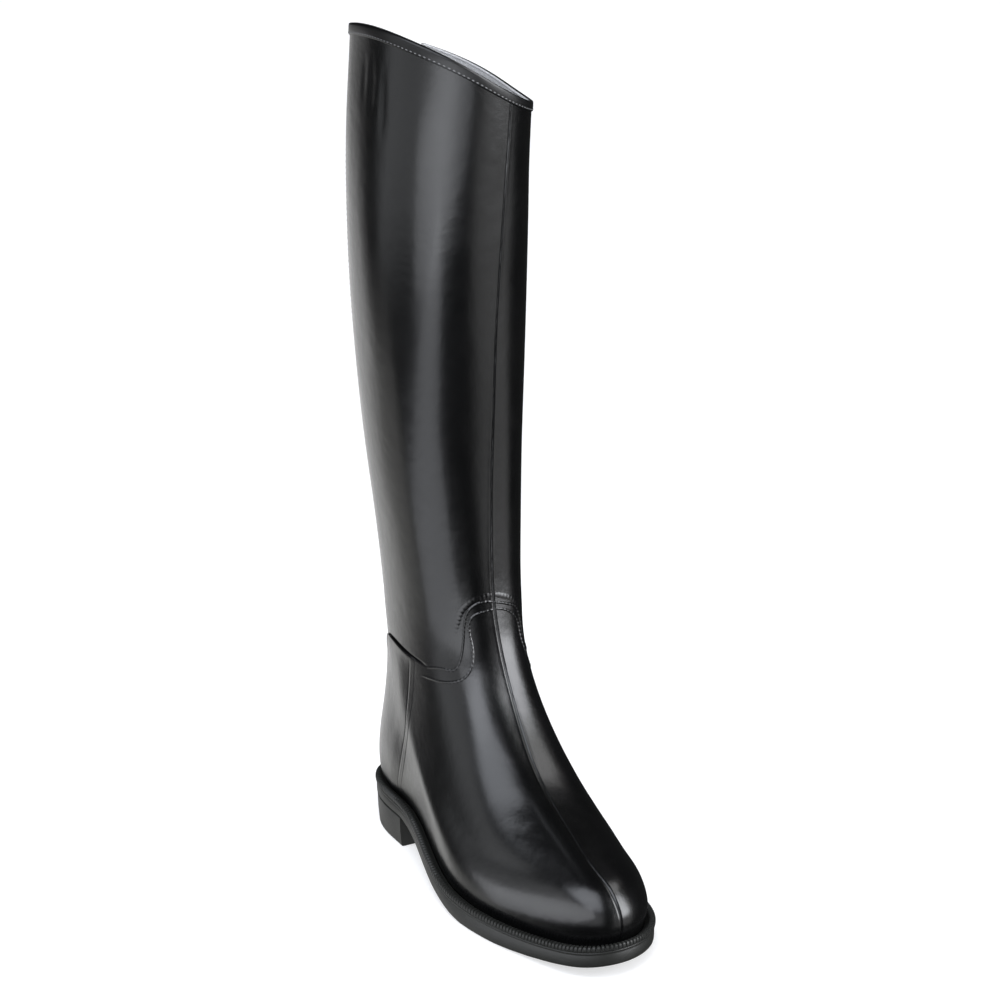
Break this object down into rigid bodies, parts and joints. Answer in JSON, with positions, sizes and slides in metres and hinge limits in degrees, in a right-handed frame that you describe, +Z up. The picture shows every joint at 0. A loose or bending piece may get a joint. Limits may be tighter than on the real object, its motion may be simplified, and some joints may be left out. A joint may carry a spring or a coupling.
{
  "type": "rubber riding boot",
  "caption": "Tall black rubber riding boot for the right foot, with a low heel, an elastic panel at the back of the leg and a slanted collar.",
  "frame": {"origin": "centre of the bounding box at floor level", "axes": "+Z up, toe towards -Y, wearer's right (outer side) towards -X"},
  "size_m": [0.1042, 0.2682, 0.5031],
  "materials": {
    "upper": "glossy moulded rubber",
    "gusset": "matte woven elastic",
    "binding": "glossy edge tape",
    "counter": "glossy moulded rubber",
    "backstay": "glossy moulded rubber",
    "spur_rest": "glossy moulded rubber",
    "welt": "satin moulded rubber",
    "outsole": "satin moulded rubber",
    "heel": "satin moulded rubber",
    "insole": "grey textile"
  },
  "bodies": {
    "root": {"upper": "upper", "gusset": "gusset", "binding": "binding", "counter": "counter", "backstay": "backstay", "spur_rest": "spur_rest", "welt": "welt", "outsole": "outsole", "heel": "heel", "insole": "insole"}
  },
  "joints": []
}
